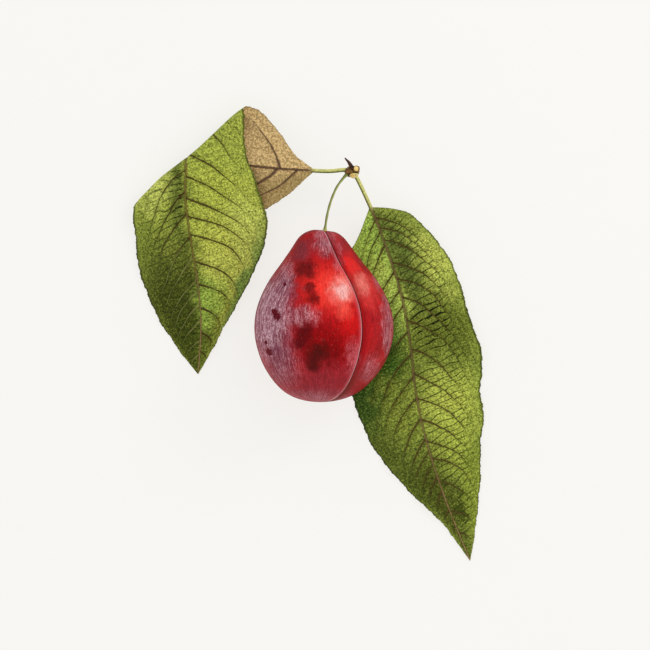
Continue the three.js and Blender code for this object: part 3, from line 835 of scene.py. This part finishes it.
FOLDED_COLOUR_AND_SHADING_PATCHES = [
    (0.5, 0.12, 0.2, 0.22, (84, 96, 36), 0.9), (0.43, 0.66, 0.085, 0.38, (190, 198, 98), 0.95),
    (0.6, 0.75, 0.1, 0.4, (112, 126, 46), 0.6), (0.8, 0.5, 0.22, 0.85, (62, 70, 18), 0.95),
    (0.93, 0.2, 0.14, 1.0, (66, 76, 20), 0.9), (0.5, -0.45, 0.17, 0.55, (168, 178, 70), 0.8),
    (0.66, -0.42, 0.13, 0.42, (180, 186, 78), 0.85), (0.79, -0.3, 0.1, 0.4, (150, 178, 72), 0.75),
    (0.62, -0.78, 0.15, 0.3, (184, 194, 92), 0.8), (0.71, -0.35, 0.06, 0.3, (186, 192, 86), 0.7),
    (0.74, -0.97, 0.15, 0.16, (98, 138, 66), 0.7), (0.95, -0.5, 0.09, 0.7, (104, 118, 40), 0.8),
]

# bold_rungs is the middle and the radii of a patch where the rungs are heavy, in the terms of those above.
# The stalk's side entry says which side of the stalk has painted shade; the other side has painted light.
# far_limit is where the far side's veins end. The near side's veins are pale from a share of the blade on,
# which on the open leaf is nowhere.
OPEN_LOOK = {
    "base": (124, 138, 54),
    "patches": OPEN_COLOUR_AND_SHADING_PATCHES,
    "vein": (80, 64, 30),
    "rib": (110, 82, 58),
    "pale_veins_from": 2.0,
    "rung_slope": 0.3,
    "rung_strength": 0.8,
    "bold_rungs": (0.34, 0.36, 0.065, 0.36),
    "stalk_side": -1.0,
    "far_limit": 0.78,
}

FOLDED_LOOK = {
    "base": (148, 158, 64),
    "patches": FOLDED_COLOUR_AND_SHADING_PATCHES,
    "vein": (66, 50, 22),
    "rib": (112, 88, 44),
    "pale_veins_from": 0.62,
    "rung_slope": -0.3,
    "rung_strength": 0.62,
    "bold_rungs": (0.49, 0.12, 0.08, 0.2),
    "stalk_side": 1.0,
    "far_limit": 0.97,
}

RUNG_PITCH = 1.72  # mm between the small veins that cross from one side vein to the next


class LeafPaint(Paint):
    """A leaf's material, green above and tan below. What its layers have in common is kept on it."""

    def __init__(self, name, leaf, look):
        super().__init__(name)
        self.__dict__.update(look)
        self.here = self.place()
        self.along, self.across, number = self.fact("blade")
        self.reach, gap, self.upper = self.fact("where")
        self.out = abs(self.reach)
        self.share = self.along / leaf.blade
        self.grain = self.step(self.noise(self.here, 1.9, 2.0, 0.7), 0.32, 0.68)
        self.grit = self.step(self.noise(self.here, 4.2, 1.0, 0.5), 0.3, 0.7)
        self.drift = self.noise(self.here, 0.5, 2.0, 0.5)
        self.mesh = self.cells(self.here, 1.25, "DISTANCE_TO_EDGE")
        self.spot = self.join(self.share, self.reach, 0.0)

        from_vein = abs(number - self.math("ROUND", number)) * gap
        self.side_vein = self.side_veins(from_vein)
        self.beside = self.step(from_vein, 1.1, 0.2) * self.step(self.out, 0.9, 0.4)
        self.rungs, self.bold = self.rung_lines(number)
        rib_half = (0.26 - 0.14 * self.share) * self.step(self.drift, 0.3, 0.6, 0.75, 1.25)
        self.midrib = self.step(abs(self.across), rib_half * 1.25, rib_half * 0.8)
        self.rib_edge_shade = self.step(abs(self.across), rib_half * 2.4, rib_half * 1.2) - self.midrib

    def side_veins(self, from_vein):
        """1 on a side vein, which thins and then fades on its way out. Those of the underside are wider."""
        limit = self.step(self.reach, -0.05, 0.05, self.far_limit, 0.97)
        fade = self.step(self.out, limit, limit - 0.4)
        half = (0.225 - 0.11 * self.out) * self.step(self.drift, 0.35, 0.6, 0.7, 1.3)
        half = half * (1.5 - 0.5 * self.upper)
        return self.step(from_vein, half * 1.3, half * 0.45) * fade

    def rung_lines(self, number):
        """1 on a rung, and how bold it is. Rungs are broken here and there, and faint on the far side."""
        shift = 0.37 * self.math("FLOOR", number)
        bend = self.noise(self.here, 0.26, 0.0)
        run = self.along + self.rung_slope * self.across + 1.8 * bend
        turn = self.math("FRACT", run / RUNG_PITCH + shift)
        broken = self.step(self.noise(self.here, 0.38, 1.0, 0.5), 0.26, 0.44)
        s, q, ds, dq = self.bold_rungs
        bold = self.step(self.distance(self.spot, (s, q, 0), (ds, dq, 1)), 1.15, 0.6)
        bold = bold * self.step(self.drift, 0.36, 0.56)
        rungs = self.step(abs(turn - 0.5), 0.12 + 0.05 * bold, 0.04 + 0.04 * bold)
        rungs = rungs * self.math("MAXIMUM", broken, bold) * self.step(self.out, 0.96, 0.6)
        rungs = rungs * self.step(self.reach, -0.1, 0.1, 0.55, 1.0)
        return rungs * self.step(abs(self.across), 0.5, 1.4), bold

    def plain_green(self):
        """The upper side's patches of colour, painted light and painted shade, and its grain, without veins.
        """
        cloud = self.noise(self.here, 0.22, 2.0, 0.5) - 0.5
        soft_spot = self.vector("ADD", self.spot, self.join(0.12 * cloud, 0.5 * cloud, 0.0))
        green = self.base
        for s, q, ds, dq, shade, strength in self.patches:
            far = self.distance(soft_spot, (s, q, 0), (ds, dq, 1))
            green = self.mix(green, shade, self.step(far, 1.35, 0.3, 0.0, strength))
        green = self.shade(green, 0.18 + self.grain + 0.84 * self.grit)
        glints = self.step(self.grit * self.grain, 0.6, 0.92, 0.0, 0.28)
        green = self.mix(green, (214, 214, 110), glints)
        green = self.shade(green, self.step(self.mesh, 0.0, 0.08, 0.88, 1.0))
        return self.shade(green, 1.0 - 0.24 * self.beside)

    def upper_side(self):
        green = self.plain_green()
        green = self.mix(green, (40, 50, 12), self.rungs * self.rung_strength)
        green = self.mix(green, (14, 16, 4), self.rungs * self.bold * 0.9)
        start = self.pale_veins_from
        pale = self.step(self.reach, 0.0, 0.05) * self.step(self.share, start, start + 0.06)
        vein_tone = self.mix(self.vein, (150, 150, 84), pale)
        green = self.mix(green, vein_tone, self.side_vein * (0.92 - 0.46 * pale))
        # Painted shade along both edges of the midrib.
        green = self.mix(green, (46, 46, 12), self.rib_edge_shade * 0.6)
        rib_tone = self.mix(self.rib, (156, 122, 86), self.step(self.share, 0.55, 0.95))
        green = self.mix(green, rib_tone, self.midrib * (0.55 + 0.4 * self.grain))
        return self.mix(green, (38, 50, 12), self.step(self.out, 0.955, 0.985, 0.0, 0.7))

    def underside(self):
        tan = self.mix((176, 148, 98), (206, 176, 122), self.step(self.grain, 0.35, 0.65))
        tan = self.mix(tan, (140, 122, 70), self.step(self.reach, 0.0, 0.5, 0.0, 0.55))
        tan = self.mix(tan, (118, 96, 62), self.step(self.beside, 0.4, 1.0, 0.0, 0.3))
        tan = self.shade(tan, 0.72 + 0.36 * self.grain + 0.34 * self.grit)
        tan = self.mix(tan, (88, 62, 50), self.side_vein * 0.9)
        tan = self.mix(tan, (120, 92, 58), self.rungs * 0.2)
        tan = self.mix(tan, (84, 60, 46), self.midrib * 0.9)
        return self.mix(tan, (132, 104, 66), self.step(self.out, 0.96, 0.99, 0.0, 0.6))

    def stalk(self):
        # Painted shade on one side of the stalk and painted light on the other.
        dark = self.step(self.reach * self.stalk_side, -0.1, 0.75)
        green = self.mix((206, 204, 126), (94, 104, 36), dark)
        return self.shade(green, 0.8 + 0.4 * self.grain)

    def relief(self):
        """The height of the fine detail: veins sunken above, and a mesh of tiny cells."""
        sunken = 0.8 * self.side_vein * self.upper + 0.4 * self.rungs
        return 0.6 * self.grain - sunken - 0.25 * self.upper * self.step(self.mesh, 0.1, 0.0)


def leaf_paint(name, leaf, look):
    paint = LeafPaint(name, leaf, look)
    colour = paint.mix(paint.underside(), paint.upper_side(), paint.upper)
    colour = paint.mix(colour, paint.stalk(), paint.step(paint.along, 1.2, -1.0))
    roughness = 0.52 + 0.16 * paint.grain
    return paint.finish(colour, roughness, 0.05, paint.relief(), 0.1)


# ---- the stalk, the spur and its buds


def stalk_paint():
    paint = Paint("stalk_rind")
    here = paint.place()
    run, turn = paint.fact("run")[:2]
    grain = paint.noise(here, 2.5, 2.0, 0.6)
    # Painted light on the side of the stalk towards the key light, and painted shade on the side away from
    # it.
    colour = paint.mix((86, 98, 34), (158, 162, 86), paint.step(turn, 0.8, -0.7))
    colour = paint.mix(colour, (196, 190, 110), paint.step(run, 0.07, 0.0, 0.0, 0.8))
    colour = paint.mix(colour, (104, 118, 40), paint.step(run, 0.86, 1.0, 0.0, 0.8))
    colour = paint.shade(colour, 0.8 + 0.4 * grain)
    return paint.finish(colour, 0.5, 0.35, grain, 0.05)


def make_stalk():
    sunk = 0.1
    foot = FRUIT_MIDDLE_Y + FRUIT_LENGTH / 2 - STALK_HOLLOW_DEPTH - sunk
    points = [
        (STALK_FOOT[0], foot, STALK_FOOT[1]), (0.65, 27.3, 17), (1.15, 29.7, 16.2), (2.05, 32.5, 14.7),
        (3.3, 35.3, 12.4), (5, 37.6, 9.9), (5.75, 38.4, 9.3),
    ]

    def radius(a, length, angle):
        ends = 0.32 * bell(a, 0.75) + 0.14 * bell(length - a, 1.6)
        return STALK_RADIUS + ends + 0.012 * np.sin(5 * angle + 0.8 * a) + 0.02 * np.sin(2.1 * a)

    return rod("fruit_stem", points, radius, 120, 20, stalk_paint())


def bark_paint(name, dark, light, roughness, scale):
    paint = Paint(name)
    here = paint.place()
    coarse = paint.noise(here, scale, 3.0, 0.7, 0.6)
    fine = paint.noise(here, scale * 4, 2.0, 0.6)
    cracks = paint.cells(here, scale * 1.6, "DISTANCE_TO_EDGE")
    colour = paint.mix(dark, light, paint.step(coarse, 0.36, 0.62))
    colour = paint.shade(colour, 0.75 + 0.5 * fine)
    colour = paint.mix(colour, (34, 22, 10), paint.step(cracks, 0.09, 0.0, 0.0, 0.7))
    height = coarse + 0.4 * fine
    return paint.finish(colour, roughness, 0.35, height, 0.25)


def make_spur():
    def swell(out):
        rings = 0.05 * np.sin(9 * out[..., 0] + 3 * out[..., 2])
        return 1 + 0.16 * lumps(out, 1.7, 3.1) + 0.06 * lumps(out, 5.5, 8.4) + rings

    wood = bark_paint("spur_wood", (48, 28, 8), (150, 110, 44), 0.7, 1.2)
    return knob("woody_spur", SPUR_PLACE, SPUR_RADII, swell, wood)


def bud_paint():
    """Tan, pale where the light catches its top, and dark brown away from there."""
    paint = Paint("bud_shell")
    here = paint.place()
    grain = paint.noise(here, 2.6, 2.0, 0.6)
    uneven = paint.ragged(here, 1.6, 0.3)
    lit = paint.distance(uneven, (7.95, 39.7, 10.8), (0.7, 0.7, 0.8))
    colour = paint.mix((150, 104, 36), (250, 222, 142), paint.step(lit, 1.1, 0.6))
    colour = paint.mix(colour, (46, 20, 6), paint.step(lit, 1.2, 1.6, 0.0, 0.9))
    colour = paint.shade(colour, 0.8 + 0.4 * grain)
    return paint.finish(colour, 0.42, 0.4, grain, 0.08)


def make_side_bud():
    def swell(out):
        ridge = 0.07 * np.abs(np.sin(3.2 * out[..., 0] + 2.4 * out[..., 1]))
        return 1 + ridge + 0.05 * lumps(out, 3.0, 1.2)

    return knob("round_bud", BUD_PLACE, BUD_RADII, swell, bud_paint())


SCALE_BED_RADII = (1.65, 1.375, 1.485)  # of the rounded bed that the flakes lie on
SCALE_THICKNESS = 0.32


def rotated(points, angle, axis):
    """Points turned about X (axis 0) or Y (axis 1)."""
    c, s = math.cos(angle), math.sin(angle)
    if axis == 0:
        return points @ np.array([[1, 0, 0], [0, c, s], [0, -s, c]])
    return points @ np.array([[c, 0, -s], [0, 1, 0], [s, 0, c]])


def make_scale(name, turn, lift, half_width, half_length, lean, material):
    """A cupped, blunt flake over the spur. Its sizes are angles at the spur's middle, and its lean is mm."""
    along = np.linspace(-1, 1, SCALE_ROWS)[:, None]
    across = np.linspace(-1, 1, SCALE_COLUMNS)[None, :]
    wide = half_width * (1 - 0.12 * (along + 1)) * np.sqrt(np.maximum(0.015, 1 - np.abs(along) ** 2.4))
    polar = np.pi / 2 - along * half_length
    swing = across * wide
    level = np.sin(polar)
    out = np.stack([level * np.sin(swing), np.cos(polar) + 0 * swing, level * np.cos(swing)], axis=-1)
    out = rotated(rotated(out, -lift, 0), turn, 1)
    flare = 0.12 + lean * np.maximum(0, along) ** 2
    keel = 0.05 * bell(across, 0.25)
    base = np.array(SPUR_PLACE) + out * np.array(SCALE_BED_RADII)
    outer = base + out * (flare + SCALE_THICKNESS * (1 - 0.6 * across**2) + keel)[..., None]
    inner = base + out * (flare + 0 * across)[..., None]
    return loft(name, joined(outer, inner), material)


def make_withered_bud():
    points = [(7.35, 39.7, 9.8), (6.7, 40.55, 10.1), (6.0, 41.45, 10.2), (5.15, 42.45, 10.2)]

    def radius(a, length, angle):
        taper = np.maximum(0, 1 - a / length) ** 0.75
        return 0.5 * taper * (1 + 0.2 * np.sin(3 * angle + 2 * a)) + 0.1

    husk = bark_paint("dry_husk", (24, 10, 4), (92, 50, 22), 0.75, 2.2)
    return rod("dry_bud", points, radius, 60, 24, husk)


# ---- floor, light and camera

VIEW_WIDTH = 162.5  # mm of the floor that the picture takes in
VIEW_OFFSET = (4.22, 2.42)  # mm from the model's middle to the picture's middle
VIEW_HEIGHT = 5  # mm above the floor, the level at which that width is taken
LENS = 400
CAMERA_REACH = 10  # m
FLOOR_HALF = 4.0  # m
FLOOR_DEPTH = 0.05  # mm below the model


def make_floor():
    mesh = bpy.data.meshes.new("floor")
    corners = [(x * FLOOR_HALF, y * FLOOR_HALF, 0) for x, y in ((-1, -1), (1, -1), (1, 1), (-1, 1))]
    mesh.from_pydata(corners, [], [(0, 1, 2, 3)])
    floor = add_object("floor", mesh)
    floor.location.z = -FLOOR_DEPTH * MM
    paint = Paint("pale_floor")
    paper = paint.noise(paint.place(), 0.08, 4.0, 0.6)
    colour = paint.shade((126, 125, 123), 0.985 + 0.03 * paper)
    glow = {"Emission Color": tone(249, 248, 244), "Emission Strength": 0.78}
    mesh.materials.append(paint.finish(colour, 0.9, 0.0, **glow))


def make_light(name, direction, distance, size, power):
    lamp = bpy.data.lights.new(name, "AREA")
    lamp.shape = "DISK"
    lamp.size = size
    lamp.energy = power
    light = add_object(name, lamp)
    towards = Vector(direction).normalized()
    light.location = towards * distance
    light.rotation_mode = "QUATERNION"
    light.rotation_quaternion = towards.to_track_quat("Z", "Y")


def make_world(strength):
    world = bpy.data.worlds.new("studio")
    world.use_nodes = True
    background = world.node_tree.nodes["Background"]
    background.inputs["Color"].default_value = (1.0, 1.0, 1.0, 1)
    background.inputs["Strength"].default_value = strength
    bpy.context.scene.world = world


def make_camera():
    low, high = cad_box
    centre = (Vector(low) + Vector(high)) / 2
    data = bpy.data.cameras.new("camera")
    data.lens = LENS
    data.clip_end = CAMERA_REACH
    camera = add_object("camera", data)
    away = VIEW_WIDTH * LENS / data.sensor_width
    x, y = (middle + offset * MM for middle, offset in zip(centre, VIEW_OFFSET))
    camera.location = (x, y, (VIEW_HEIGHT + away) * MM)
    bpy.context.scene.camera = camera


# ---- assembly


def install(piece, node):
    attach(piece, "root")
    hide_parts(node)


make_camera()
make_world(0.9)
make_light("key", direction=(0.6, 0.48, 0.62), distance=0.5, size=0.16, power=0.36)
make_floor()
bpy.context.scene.view_settings.view_transform = "Standard"

open_green = leaf_paint("open_leaf_skin", OPEN_LEAF, OPEN_LOOK)
folded_green = leaf_paint("folded_leaf_skin", FOLDED_LEAF, FOLDED_LOOK)
tan_husk = bark_paint("scale_husk", (236, 192, 96), (255, 244, 168), 0.5, 0.9)
brown_husk = bark_paint("brown_husk", (70, 42, 14), (150, 104, 40), 0.6, 1.2)

install(make_fruit(), "fruit")
install(make_stalk(), "fruit_stalk")
install(make_spur(), "spur")
install(make_side_bud(), "side_bud")
front_scale = make_scale(
    "front_scale", turn=0.42, lift=-0.72, half_width=0.75, half_length=0.5, lean=0.3, material=tan_husk
)
install(front_scale, "bud_scale_front")
left_scale = make_scale(
    "left_scale", turn=-0.72, lift=0.1, half_width=0.5, half_length=0.38, lean=0.2, material=brown_husk
)
install(left_scale, "bud_scale_left")
install(make_withered_bud(), "withered_bud")
install(make_leaf("leaf_open", OPEN_LEAF, open_green), "open_leaf")
install(make_leaf("leaf_folded", FOLDED_LEAF, folded_green), "folded_leaf")
